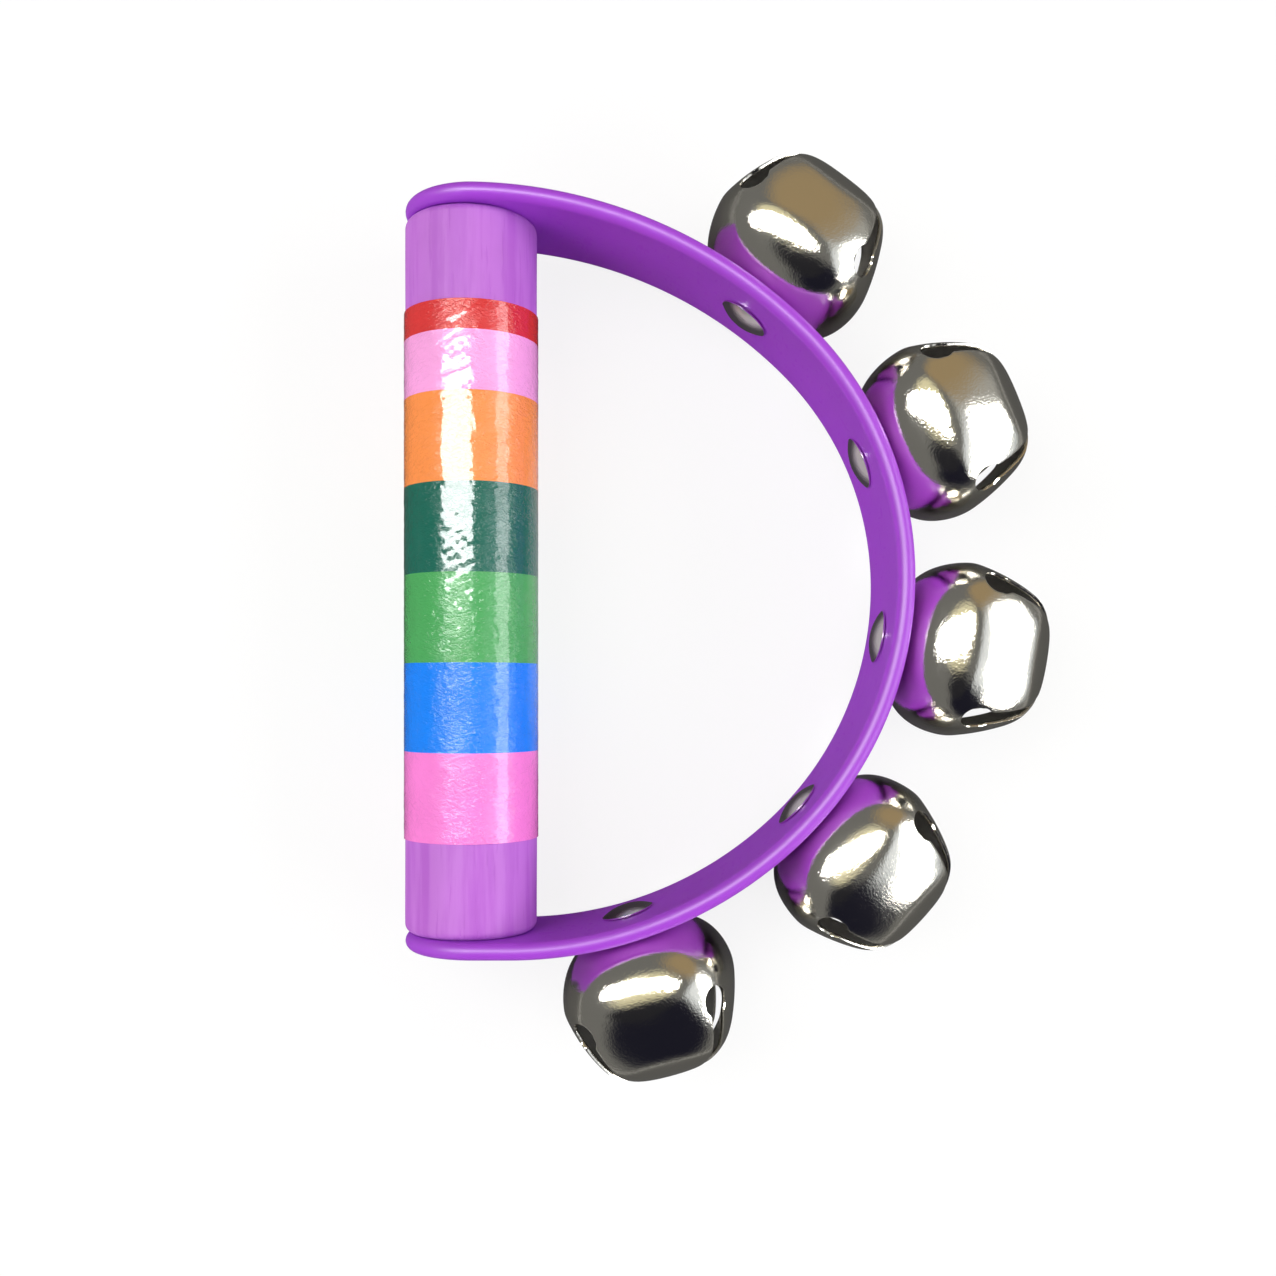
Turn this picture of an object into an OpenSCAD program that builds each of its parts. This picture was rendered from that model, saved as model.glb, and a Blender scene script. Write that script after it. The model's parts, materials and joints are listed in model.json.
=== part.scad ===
// Hand-held jingle bells: a wooden handle, a plastic strap bent into a bow and
// fastened over both ends of the handle, and pressed metal bells riveted
// round the outside of the bow.
//
// The origin is the middle of the handle. +Y runs along the handle to its top
// end, +X points across the grip to the bells, and +Z is the strap's width.

/* [Handle] */
// Length of the wooden handle, which is also the gap between the strap's ends
handle_len = 108.6; // [104:0.2:114]
// Diameter of the bare wood
handle_d = 20.2; // [18:0.2:21]
// Rounding of the edge at each end of the wood
handle_round = 1.3; // [1:0.1:4]
// Thickness of the coloured film
film_t = 0.2; // [0.1:0.05:0.4]
// Length of each full band of film
band_len = 13.33; // [10:0.01:15]
// Share of the first full band that is red, above its rose part
red_share = 0.335; // [0.1:0.005:0.9]

/* [Strap] */
// Width of the strap
strap_w = 23; // [20:0.2:24]
// Thickness of the strap
strap_t = 2.6; // [2:0.1:3]
// Reach of the strap's ends behind the handle's axis
strap_tail = 10; // [7:0.1:12]
// Where the bow leaves the handle's top end
bow_start = 0.1; // [0:0.1:2]
// Mid-line radius of the bow's upper shoulder
shoulder_top_r = 70.8; // [68:0.2:73]
// Mid-line radius of the nose above its middle
nose_top_r = 50.4; // [49:0.1:52]
// Mid-line radius of the bow's lower shoulder
shoulder_low_r = 60.3; // [58:0.1:62]

/* [Bells] */
// Width of a bell across its flat petals
bell_w = 27.2; // [26:0.1:28]
// Height of a bell above the strap
bell_h = 22.9; // [22:0.1:24]
// Radius of a bell on the diagonals between its petals
corner_r = 14.8; // [14.4:0.1:15.2]
// Radius of the flat seat under a bell
seat_r = 5.1; // [4.5:0.1:5.5]
// Height of a bell's widest crease
belly_h = 8.2; // [7.8:0.1:9]
// Height of the crease under the crown
crown_h = 17.9; // [17:0.1:18.5]
// Width across the crease under the crown
crown_w = 20.8; // [19:0.1:22]
// Thickness of the pressed sheet at the petals
wall = 0.55; // [0.4:0.05:0.8]
// Diameter of the keyholes' round ends
keyhole_d = 4.2; // [3:0.1:4.5]
// Diameter of the loose ball
pellet_d = 7; // [5:0.1:7.2]
// Direction that each bell points in, from +X towards +Y
bell_dirs = [52.8, 22.1, -9.5, -42.1, -73]; // [-80:0.1:80]
// Turn of each bell on its rivet
bell_turns = [0, 0, 0, 0, 5]; // [-45:1:45]

/* [Fasteners] */
// Diameter of a rivet's domed head
rivet_head_d = 8; // [6:0.1:9]
// Height of a rivet's domed head
rivet_head_h = 1.3; // [0.8:0.1:1.8]
// Diameter of a rivet's shank
rivet_d = 3.2; // [2.5:0.1:4]
// Diameter of the rolled end inside the bell
clinch_d = 6; // [5:0.1:7]
// Radial clearance between a bell's hole and its rivet
swivel_play = 0.05; // [0.01:0.01:0.1]
// Gap between the wood's ends and the strap
end_gap = 0.02; // [0.01:0.01:0.1]
// Diameter of a screw's head
screw_head_d = 7.2; // [6:0.1:8]
// Height of a screw's head
screw_head_h = 1.7; // [1.2:0.1:2]
// Diameter of a screw's shank
screw_d = 3; // [2.5:0.1:4]
// Depth of a screw in the wood
screw_depth = 18; // [12:0.5:24]

/* [Hidden] */
bell_count = len(bell_dirs);
band_names = ["red", "rose", "orange", "teal", "green", "blue", "pink"];
band_colours = ["#d73838", "#faacd8", "#f89652", "#267361", "#53b070", "#0387fa", "#fc8cde"];
$fn = 96;
eps = 0.01;

// Film: the first of six full bands is split into red and rose
film_top = 3 * band_len;
band_edges = concat([film_top, film_top - red_share * band_len],
                    [for (i = [1:6]) film_top - i * band_len]);

// Bow: four eighth-turns, tangent to each other and to the straight ends
eighth = 45;
bow_steps = 16;
bow_height = handle_len + strap_t;
nose_low_r = (bow_height - (1 - cos(eighth)) * (shoulder_top_r + shoulder_low_r)) / sin(eighth)
             - nose_top_r;
bow_radii = [shoulder_top_r, nose_top_r, nose_low_r, shoulder_low_r];
shoulder_top_c = [bow_start, bow_height / 2 - shoulder_top_r];
nose_top_c = shoulder_top_c + (shoulder_top_r - nose_top_r) * direction(eighth);
nose_low_c = nose_top_c + (nose_top_r - nose_low_r) * direction(0);
shoulder_low_c = nose_low_c + (nose_low_r - shoulder_low_r) * direction(-eighth);
bow_centres = [shoulder_top_c, nose_top_c, nose_low_c, shoulder_low_c];

// Bell: the inside is the outside made smaller about the bell's middle
inner_scale = 1 - 2 * wall / bell_w;
seat_t = bell_h / 2 * (1 - inner_scale);
bowl_r = corner_r - seat_r;
facet_lean = 0.28;
face_bulge = 0.45;
crown_rise = bell_h - crown_h;
crown_r = (pow(crown_w / 2, 2) + pow(crown_rise, 2)) / (2 * crown_rise);
keyhole_h = 11.5;
slot_neck = 2.9;
slot_tip = 0.8;
slot_inner_r = 2.5;
axial_play = 0.1;

// Ball: it lies on the lowest petal, level with the widest crease
pellet_h = belly_h + 0.4;
pellet_drop = bell_w / 2 - wall - pellet_d / 2 - 0.55;

rivet_rim = 0.3;
clinch_h = 1.1;
clinch_bore_d = 1.8;
clinch_bore_depth = 1.6;
recess_len = 4;
recess_w = 0.9;
recess_depth = 1;
tip_len = 3;

function direction(a) = [cos(a), sin(a)];
function quarter(a) = a > eighth ? 0 : a > 0 ? 1 : a > -eighth ? 2 : 3;
function seat_point(i) =
    let (a = bell_dirs[i], q = quarter(a))
    bow_centres[q] + (bow_radii[q] + strap_t / 2) * direction(a);

// Local +Z is a bell's axis, from the strap's outer face outwards; local +X is down
module at_bell(i) {
    translate(concat(seat_point(i), 0)) rotate([0, 90, bell_dirs[i]]) children();
}

// Local +Z points out of the handle's end; side is 1 at the top and -1 at the bottom
module at_handle_end(side) {
    translate([0, side * handle_len / 2, 0]) rotate([-side * 90, 0, 0]) children();
}

module handle() {
    r = handle_d / 2;
    h = handle_len / 2;
    color("#c476dd") difference() {
        rotate([90, 0, 0]) rotate_extrude() {
            translate([0, -h]) square([r - handle_round, handle_len]);
            translate([0, handle_round - h]) square([r, handle_len - 2 * handle_round]);
            for (side = [-1, 1])
                translate([r - handle_round, side * (h - handle_round)]) circle(handle_round);
        }
        for (side = [-1, 1]) at_handle_end(side) screw_shank();
        wood_waste();
    }
}

// What is dressed off the wood's ends, so that they follow the strap's inner face
module wood_waste() {
    edge = bow_line(-strap_t / 2 - end_gap);
    last = len(edge) - 1;
    for (end = [[for (k = [0:8]) edge[k]], [for (k = [last:-1:last - 8]) edge[k]]])
        translate([0, 0, -handle_d]) linear_extrude(2 * handle_d)
            polygon(concat([[-handle_d, end[0][1]]], end,
                           [[end[8][0], sign(end[0][1]) * handle_len], [-handle_d, sign(end[0][1]) * handle_len]]));
}

module band(i) {
    length = band_edges[i] - band_edges[i + 1];
    color(band_colours[i]) translate([0, band_edges[i], 0]) rotate([90, 0, 0]) difference() {
        cylinder(h = length, d = handle_d + 2 * film_t);
        translate([0, 0, -1]) cylinder(h = length + 2, d = handle_d);
    }
}

// The bow's line at a distance out from its mid-line, from the top end to the bottom one
function bow_line(out) = concat(
    [[-strap_tail, bow_height / 2 + out]],
    [for (q = [0:3]) for (k = [0:bow_steps])
        bow_centres[q] + (bow_radii[q] + out) * direction(90 - eighth * (q + k / bow_steps))],
    [[-strap_tail, -bow_height / 2 - out]]
);

// The strap before drilling: the bow's outline at full width, its ends round behind the handle
module strap_blank() {
    intersection() {
        translate([0, 0, -strap_w / 2]) linear_extrude(strap_w) {
            outside = bow_line(strap_t / 2);
            inside = bow_line(-strap_t / 2);
            polygon(concat(outside, [for (k = [len(inside) - 1:-1:0]) inside[k]]));
        }
        translate([strap_w / 2 - strap_tail, 0, 0]) {
            rotate([90, 0, 0]) cylinder(h = 2 * bow_height, d = strap_w, center = true);
            translate([0, -bow_height, -strap_w / 2]) cube([bow_height, 2 * bow_height, strap_w]);
        }
    }
}

module strap() {
    color("#9636bf") difference() {
        strap_blank();
        for (i = [0:bell_count - 1]) at_bell(i) {
            translate([0, 0, -strap_t - 1]) cylinder(h = strap_t + 2, d = rivet_d);
            translate([0, 0, -strap_t - 1]) cylinder(h = 1, d = rivet_head_d + 0.2);
        }
        for (side = [-1, 1])
            at_handle_end(side) translate([0, 0, -1]) cylinder(h = strap_t + 2, d = screw_d);
    }
}

// Shank and point of a screw, from the strap's outer face down into the wood
module screw_shank() {
    translate([0, 0, tip_len - screw_depth]) cylinder(h = screw_depth - tip_len + strap_t, d = screw_d);
    translate([0, 0, -screw_depth]) cylinder(h = tip_len, d1 = 0.6, d2 = screw_d);
}

module screw(side) {
    dome_r = (pow(screw_head_d / 2, 2) + pow(screw_head_h, 2)) / (2 * screw_head_h);
    color("#b8b8bc") at_handle_end(side) {
        screw_shank();
        translate([0, 0, strap_t]) difference() {
            rotate_extrude() intersection() {
                translate([0, screw_head_h - dome_r]) circle(dome_r);
                square([screw_head_d, screw_head_h]);
            }
            for (turn = [0, 90])
                rotate(turn) translate([-recess_len / 2, -recess_w / 2, screw_head_h - recess_depth])
                    cube([recess_len, recess_w, recess_depth + 1]);
        }
    }
}

module rivet(i) {
    head_r = rivet_head_d / 2;
    dome_h = rivet_head_h - rivet_rim;
    dome_r = (pow(head_r, 2) + pow(dome_h, 2)) / (2 * dome_h);
    rim_z = -strap_t - rivet_rim;
    clinch_z = axial_play * 2 + seat_t;
    color("#c8c8cc") at_bell(i) difference() {
        rotate_extrude() {
            translate([0, rim_z]) square([rivet_d / 2, clinch_z + clinch_h - rim_z]);
            translate([0, rim_z]) square([head_r, rivet_rim]);
            intersection() {
                translate([0, rim_z - dome_h + dome_r]) circle(dome_r);
                translate([0, rim_z - dome_h]) square([head_r, dome_h + eps]);
            }
            translate([0, clinch_z]) square([(clinch_d - clinch_h) / 2, clinch_h]);
            translate([(clinch_d - clinch_h) / 2, clinch_z + clinch_h / 2]) circle(d = clinch_h);
        }
        translate([0, 0, clinch_z + clinch_h - clinch_bore_depth])
            cylinder(h = clinch_bore_depth + 1, d = clinch_bore_d);
    }
}

// Half outline of the round bowl and corners, which the petals then cut flat
module round_outline() {
    square([seat_r, bowl_r]);
    intersection() {
        translate([seat_r, bowl_r]) circle(bowl_r);
        translate([seat_r, 0]) square(bowl_r);
    }
    intersection() {
        translate([0, bowl_r]) circle(corner_r);
        translate([0, bowl_r - eps]) square([corner_r, corner_r + eps]);
    }
}

// Outline of two opposite petals seen along their creases
module petal_outline() {
    belly = bell_w / 2;
    crown = crown_w / 2;
    foot = belly - belly_h * facet_lean;
    mid = (belly + crown) / 2 + face_bulge;
    mid_h = (belly_h + crown_h) / 2;
    side = [[foot, 0], [belly, belly_h], [mid, mid_h], [crown, crown_h]];
    polygon(concat(side, [for (k = [3:-1:0]) [-side[k][0], side[k][1]]]));
    intersection() {
        translate([0, bell_h - crown_r]) circle(crown_r);
        translate([-crown, crown_h - eps]) square([crown_w, crown_rise + eps]);
    }
}

module bell_solid() {
    intersection() {
        rotate_extrude() round_outline();
        for_petals() translate([0, bell_w, 0]) rotate([90, 0, 0])
            linear_extrude(2 * bell_w) petal_outline();
    }
}

module for_petals() {
    intersection() {
        children();
        rotate(90) children();
    }
}

// Slot between two petals: a round end and a tapering slit up to the crown
module keyhole() {
    translate([slot_inner_r, 0, 0]) rotate([90, 0, 90]) linear_extrude(bell_w) {
        translate([0, keyhole_h]) circle(d = keyhole_d);
        polygon([[-slot_neck / 2, keyhole_h], [slot_neck / 2, keyhole_h],
                 [slot_tip / 2, bell_h + 1], [-slot_tip / 2, bell_h + 1]]);
    }
}

module shell(i) {
    color("#d2d0c8") at_bell(i) rotate(bell_turns[i]) translate([0, 0, axial_play]) difference() {
        bell_solid();
        translate([0, 0, bell_h / 2]) scale(inner_scale) translate([0, 0, -bell_h / 2]) bell_solid();
        translate([0, 0, -1]) cylinder(h = seat_t + 2, d = rivet_d + 2 * swivel_play);
        for (k = [0:3]) rotate(45 + 90 * k) keyhole();
    }
}

module pellet(i) {
    color("#8c8c92") at_bell(i) translate([pellet_drop, 0, axial_play + pellet_h])
        sphere(d = pellet_d);
}

handle();
for (i = [0:6]) band(i);
strap();
screw(1);  // screw_top
screw(-1);  // screw_bottom
for (i = [0:bell_count - 1]) {
    rivet(i);
    shell(i);
    pellet(i);
}
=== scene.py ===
import json
import math

import bmesh
import bpy
import numpy as np
from bpy.props import FloatProperty, FloatVectorProperty, PointerProperty
from mathutils import Matrix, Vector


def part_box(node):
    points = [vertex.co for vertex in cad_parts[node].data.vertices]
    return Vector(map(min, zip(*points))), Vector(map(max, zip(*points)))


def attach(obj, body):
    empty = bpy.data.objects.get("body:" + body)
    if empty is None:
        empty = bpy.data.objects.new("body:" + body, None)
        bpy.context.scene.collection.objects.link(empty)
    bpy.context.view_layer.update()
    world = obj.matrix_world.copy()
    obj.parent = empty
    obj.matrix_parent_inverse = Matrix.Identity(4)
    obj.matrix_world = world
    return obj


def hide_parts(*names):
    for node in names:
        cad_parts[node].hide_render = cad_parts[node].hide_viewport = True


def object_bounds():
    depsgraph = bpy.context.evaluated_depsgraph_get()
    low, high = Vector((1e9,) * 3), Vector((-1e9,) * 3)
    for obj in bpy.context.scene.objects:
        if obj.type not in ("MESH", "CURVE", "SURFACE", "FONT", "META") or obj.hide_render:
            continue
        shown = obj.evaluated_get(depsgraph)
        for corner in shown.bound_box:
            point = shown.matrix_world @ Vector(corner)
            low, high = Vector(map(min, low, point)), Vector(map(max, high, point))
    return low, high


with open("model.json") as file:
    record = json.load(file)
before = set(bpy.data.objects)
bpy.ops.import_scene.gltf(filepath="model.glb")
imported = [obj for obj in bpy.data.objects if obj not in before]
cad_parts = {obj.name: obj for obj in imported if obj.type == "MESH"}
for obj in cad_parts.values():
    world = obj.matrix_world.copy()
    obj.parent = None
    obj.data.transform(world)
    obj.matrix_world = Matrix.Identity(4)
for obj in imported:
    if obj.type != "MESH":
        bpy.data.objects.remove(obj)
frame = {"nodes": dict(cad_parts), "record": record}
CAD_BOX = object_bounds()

bl_info = {
    "name": "Hand Jingle Bells",
    "version": (1, 0, 0),
    "blender": (4, 5, 0),
    "location": "View3D > Sidebar > Jingle Bells",
    "description": "Builds the looks of a hand-held jingle: handle, film bands, strap, bells and rivets",
    "category": "Object",
}

MM = 0.001
BAND_NAMES = ("red", "rose", "orange", "teal", "green", "blue", "pink")
SWIVELS = [j for j in frame["record"]["behaviour"]["joints"] if j["type"] == "hinge"]
MEASURED_BELL = 3  # a bell that isn't turned, so its petals face along Z


def from_srgb(red, green, blue):
    """Linear colour of a display colour given as three numbers from 0 to 255."""
    shown = np.array([red, green, blue]) / 255
    linear = np.where(shown <= 0.04045, shown / 12.92, ((shown + 0.055) / 1.055) ** 2.4)
    return tuple(float(part) for part in linear)


# -------- settings

def length_prop(name, description, millimetres):
    return FloatProperty(name=name, description=description, default=millimetres * MM,
                         unit="LENGTH", precision=5)


def colour_prop(name, description, rgb):
    return FloatVectorProperty(name=name, description=description, default=from_srgb(*rgb), size=3,
                               min=0, max=1, subtype="COLOR")


class BellSizes(bpy.types.PropertyGroup):
    """Sizes of one pressed bell. Heights are above its flat seat."""
    height: length_prop("Height", "Height of a bell from its seat to its crown", 22.9)
    corner_radius: length_prop("Corner radius", "Radius on the diagonals between the petals", 14.8)
    seat_radius: length_prop("Seat radius", "Radius of the flat seat", 5.1)
    belly_height: length_prop("Belly height", "Height of the widest crease", 8.2)
    facet_lean: FloatProperty(name="Facet lean", default=0.28, min=0, max=1, subtype="FACTOR",
                              description="Slope of the almond facet under the widest crease")
    crown_height: length_prop("Crown height", "Height of the crease under the crown", 17.9)
    crown_half: length_prop("Crown half width", "Half the width across the crease under the crown", 10.4)
    face_bulge: length_prop("Face bulge", "How far a petal's face bows out between its creases", 0.4)
    cross_radius: length_prop("Cross radius", "Radius of a petal face across its width", 30)
    crease: length_prop("Crease softness", "Width over which a crease is rounded", 0.22)
    corner_crease: length_prop("Corner softness", "Width of a petal's blend into the round corners", 1.3)
    wall: length_prop("Wall", "Thickness of the pressed sheet", 0.55)
    keyhole_radius: length_prop("Keyhole radius", "Radius of the slots' round ends", 2.1)
    keyhole_height: length_prop("Keyhole height", "Height of the centre of the slots' round ends", 11.3)
    neck_half: length_prop("Neck half width", "Half the slot's width where it leaves its round end", 1.45)
    slit_half: length_prop("Slit half width", "Half the slot's width at the crown", 0.2)
    tip_radius: length_prop("Tip radius", "Distance from the axis at which the petals' tips end", 0.9)
    seat_gap: length_prop("Seat gap", "Play between a bell and the strap", 0.1)
    last_turn: FloatProperty(name="Last bell's turn", default=math.radians(5), subtype="ANGLE",
                             unit="ROTATION", description="Turn of the lowest bell on its rivet")


class StrapSizes(bpy.types.PropertyGroup):
    """The bow's shape: four eighth-turns between the two straight ends."""
    bow_start: length_prop("Bow start", "Where the bow leaves the handle's top end", 0.1)
    shoulder_top: length_prop("Upper shoulder", "Mid-line radius of the upper shoulder", 70.8)
    nose_top: length_prop("Upper nose", "Mid-line radius of the nose above its middle", 50.4)
    shoulder_low: length_prop("Lower shoulder", "Mid-line radius of the lower shoulder", 60.3)
    end_gap: length_prop("End gap", "Gap between the wood's ends and the strap", 0.02)
    dimple: length_prop("Dimple", "How far each rivet head pulls the strap in", 0.22)
    dimple_reach: length_prop("Dimple reach", "Radius of the dimple round a rivet head", 5.2)


class HandleSizes(bpy.types.PropertyGroup):
    """The wooden handle and the film round it."""
    end_round: length_prop("End rounding", "Rounding of the wood's end edges", 1.3)
    wobble: length_prop("Turning marks", "How far the turned wood strays from a true cylinder", 0.03)
    wrinkle: length_prop("Film wrinkle", "Height of the shrunk film's wrinkles", 0.03)


class RivetSizes(bpy.types.PropertyGroup):
    """One tubular rivet. Its head lies inside the bow and its rolled end inside the bell."""
    head_radius: length_prop("Head radius", "Radius of the domed head", 4.0)
    head_height: length_prop("Head height", "Height of the domed head", 1.3)
    rim: length_prop("Rim", "Thickness of the head's edge", 0.3)
    shank_radius: length_prop("Shank radius", "Radius of the shank", 1.6)
    clinch_radius: length_prop("Clinch radius", "Radius of the rolled end", 3.0)
    clinch_height: length_prop("Clinch height", "Height of the rolled end", 1.1)
    bore_radius: length_prop("Bore radius", "Radius of the hole in the rolled end", 0.9)


class Finishes(bpy.types.PropertyGroup):
    """Colours of every finish."""
    wood: colour_prop("Wood", "Stained wood", (184, 106, 206))
    wood_dark: colour_prop("Wood grain", "Darker lines of the stained wood", (164, 72, 192))
    red: colour_prop("Red film", "First band", (215, 50, 50))
    rose: colour_prop("Rose film", "Second band", (250, 165, 228))
    orange: colour_prop("Orange film", "Third band", (250, 146, 74))
    teal: colour_prop("Dark green film", "Fourth band", (16, 100, 84))
    green: colour_prop("Green film", "Fifth band", (74, 166, 92))
    blue: colour_prop("Blue film", "Sixth band", (8, 130, 250))
    pink: colour_prop("Pink film", "Seventh band", (248, 130, 216))
    strap: colour_prop("Strap", "Soft purple plastic", (160, 62, 206))
    nickel: colour_prop("Nickel", "Bright plate on the bells", (232, 228, 218))
    # Darker than the bright nickel: partly a duller plate, partly painted shade for the hollow inside the
    # bells.
    nickel_dull_and_shade: colour_prop("Dull nickel and painted shade", "Thin plate inside the bells", (196, 194, 190))
    rivet: colour_prop("Rivet plate", "Bright plate on the rivets", (222, 220, 216))
    zinc: colour_prop("Zinc", "Zinc plate on the screws", (196, 198, 204))
    steel: colour_prop("Steel", "Bare steel balls", (150, 150, 154))


class StageSizes(bpy.types.PropertyGroup):
    """Camera place and floor."""
    eye_x: length_prop("Camera X", "Camera's place across the grip", 25.4)
    eye_y: length_prop("Camera Y", "Camera's place along the handle", -17.0)
    eye_z: length_prop("Camera height", "Camera's height above the strap's middle", 190)
    floor_radius: length_prop("Floor radius", "Radius of the pale floor", 2500)


# -------- meshes

MERGE_DISTANCE = 0.002 * MM
SHORTEST_EDGE = 0.001 * MM


def grid_quads(rows, columns, wrap=False):
    """Corner numbers of every cell of a grid of points; wrap joins the last column to the first."""
    number = np.arange(rows * columns).reshape(rows, columns)
    if wrap:
        number = np.hstack([number, number[:, :1]])
    corners = [number[:-1, :-1], number[:-1, 1:], number[1:, 1:], number[1:, :-1]]
    return np.stack(corners, axis=-1).reshape(-1, 4)


def linked(name, data):
    """A new object of that data, in the scene."""
    made = bpy.data.objects.new(name, data)
    bpy.context.scene.collection.objects.link(made)
    return made


def mesh_piece(name, points, quads, sharp_degrees=None):
    """A smooth-shaded object of those points and four-cornered faces, with points that coincide merged.
    Edges that bend by more than sharp_degrees stay sharp."""
    mesh = bpy.data.meshes.new(name)
    mesh.from_pydata(points.reshape(-1, 3).tolist(), [], quads.tolist())
    work = bmesh.new()
    work.from_mesh(mesh)
    bmesh.ops.remove_doubles(work, verts=work.verts, dist=MERGE_DISTANCE)
    bmesh.ops.dissolve_degenerate(work, dist=SHORTEST_EDGE, edges=work.edges)
    bmesh.ops.recalc_face_normals(work, faces=work.faces)
    work.to_mesh(mesh)
    work.free()
    mesh.shade_smooth()
    if sharp_degrees is not None:
        mesh.set_sharp_from_angle(angle=math.radians(sharp_degrees))
    return linked(name, mesh)


def lathe_points(profile, turns, unevenness):
    """Points of a profile of (radius, height) rows turned about the height axis: x = r cos t, y = r sin t,
    z = h. The radius r is the profile's plus the unevenness at that height and turn."""
    turn = np.linspace(0, 2 * math.pi, turns, endpoint=False)
    radius = profile[:, :1] + unevenness(profile[:, 1:], turn[None])
    height = np.broadcast_to(profile[:, 1:], radius.shape)
    return np.stack([radius * np.cos(turn), radius * np.sin(turn), height], axis=-1)


def arc(centre, radius, start, end, steps):
    """Points on a circle in the (radius, height) plane, from one angle to another in degrees."""
    angle = np.radians(np.linspace(start, end, steps + 1))
    return np.stack([centre[0] + radius * np.cos(angle), centre[1] + radius * np.sin(angle)], axis=-1)


def line(start, end, steps=1):
    """Evenly spaced points from start to end."""
    return np.linspace(start, end, steps + 1)


def in_frame(points, origin, across, along, out):
    """Points moved from local x, y, z to a frame with that origin and those three axes."""
    return np.array(origin) + points @ np.array([across, along, out])


def soft_max(first, second, width):
    """The larger of two arrays, blended over width k where they are close: the larger one plus k h^2 / 4,
    where h = 1 - |a - b| / k, and not below nought."""
    near = np.clip(1 - np.abs(first - second) / width, 0, None)
    return np.maximum(first, second) + width * near ** 2 / 4


# -------- bells

HEART_SHARE = 0.42  # height of the point that rays leave from, as a share of the bell's height
HALVINGS = 34
PROBES = 400  # points that the bell's diagonal outline is measured at
LARGEST_GAP = 0.68  # sine of a slot's half angle where it would be wider than the petals' tips
BOWL_ROWS = 46  # rows of a shell's quarter: from the rivet hole up to the keyholes,
ROUND_ROWS = 10  # past the lower half of their round ends,
PETAL_ROWS = 62  # and on to the petals' tips
QUARTER_COLUMNS = 57
RIVET_PLAY = 0.05 * MM  # gap between a shell's hole and the rivet's shank
EDGE_BEVEL = 0.18 * MM
BEVEL_DEGREES = 55


def swivel_frame(joint, turn=0.0):
    """Origin and axes of a bell: local z is its rivet's axis, local x points down when the turn is nought."""
    out = np.array(joint["axis"], float)
    down = np.array([0.0, 0.0, -1.0])
    along = np.cross(out, down)
    across = down * math.cos(turn) + along * math.sin(turn)
    return np.array(joint["pos_m"]), across, np.cross(out, across), out


def petal_width():
    """Width of a bell across its flat petals, from the frame."""
    low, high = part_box(f"shell_{MEASURED_BELL}")
    return high[2] - low[2]


def bell_distance(x, y, h, size, half):
    """How far points lie outside the bell's outer form: the softened maximum of the distances to the round
    bowl and corners and to each pair of petals. A petal is a flat leaning facet, a slightly bowed face and
    a crown arc. The face is round across its width too: b to the side of its middle it stands back by
    b^2 / 2R, and the crown by half of that. Face and crown blend widely into the corners, while the
    facet's edges stay crisp, so that the facet is almond shaped."""
    bowl = size.corner_radius - size.seat_radius
    radius = np.hypot(x, y)
    past_seat = radius - size.seat_radius
    low = np.where(past_seat > 0, np.hypot(past_seat, h - bowl) - bowl, -h)
    whole = np.where(h < bowl, low, np.hypot(radius, h - bowl) - size.corner_radius)
    run, rise = size.crown_half - half, size.crown_height - size.belly_height
    chord = math.hypot(run, rise)
    face_r = chord ** 2 / (8 * size.face_bulge) + size.face_bulge / 2
    middle = ((half + size.crown_half) / 2, (size.belly_height + size.crown_height) / 2)
    inward = (-rise / chord, run / chord)
    reach = face_r - size.face_bulge
    face_c = (middle[0] + inward[0] * reach, middle[1] + inward[1] * reach)
    dome = size.height - size.crown_height
    crown_r = (size.crown_half ** 2 + dome ** 2) / (2 * dome)
    sides = [(np.abs(x), y), (np.abs(y), x)]
    for across, aside in sides:
        bow = aside ** 2 / (2 * size.cross_radius)
        face = np.hypot(across + bow - face_c[0], h - face_c[1]) - face_r
        crown = np.hypot(across + bow / 2, h - size.height + crown_r) - crown_r
        whole = soft_max(whole, soft_max(face, crown, size.crease), size.corner_crease)
    for across, _ in sides:
        facet = across - half - size.facet_lean * (h - size.belly_height)
        whole = soft_max(whole, facet / math.hypot(1, size.facet_lean), size.crease)
    return whole


def bell_surface(theta, phi, size, half):
    """Points where rays from the bell's middle meet its outer form. theta is measured up from the seat and
    phi round the axis; the distance along each ray is found by halving."""
    direction = np.stack([np.sin(theta) * np.cos(phi), np.sin(theta) * np.sin(phi), -np.cos(theta)])
    heart = size.height * HEART_SHARE
    near = np.zeros(direction.shape[1:])
    far = np.full(direction.shape[1:], 2 * size.height)
    for _ in range(HALVINGS):
        middle = (near + far) / 2
        x, y, h = direction * middle
        inside = bell_distance(x, y, h + heart, size, half) < 0
        near, far = np.where(inside, middle, near), np.where(inside, far, middle)
    points = np.moveaxis(direction * near, 0, -1)
    points[..., 2] += heart
    return points


def slot_half_width(h, size):
    """Half the keyhole's width at a height: a round end that runs smoothly into a slit. The slit narrows to
    the crown as (1 - climb) to the power 0.7, and starts from nought at the round end's middle."""
    round_end = np.sqrt(np.clip(size.keyhole_radius ** 2 - (h - size.keyhole_height) ** 2, 0, None))
    climb = np.clip((h - size.keyhole_height) / (size.height - size.keyhole_height), 0, 1)
    slit = size.slit_half + (size.neck_half - size.slit_half) * (1 - climb) ** 0.7
    above = np.clip((h - size.keyhole_height) / (0.5 * size.keyhole_radius), 0, 1)
    return soft_max(round_end, slit * above ** 0.5, 0.8 * size.keyhole_radius * above + 1e-9)


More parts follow.
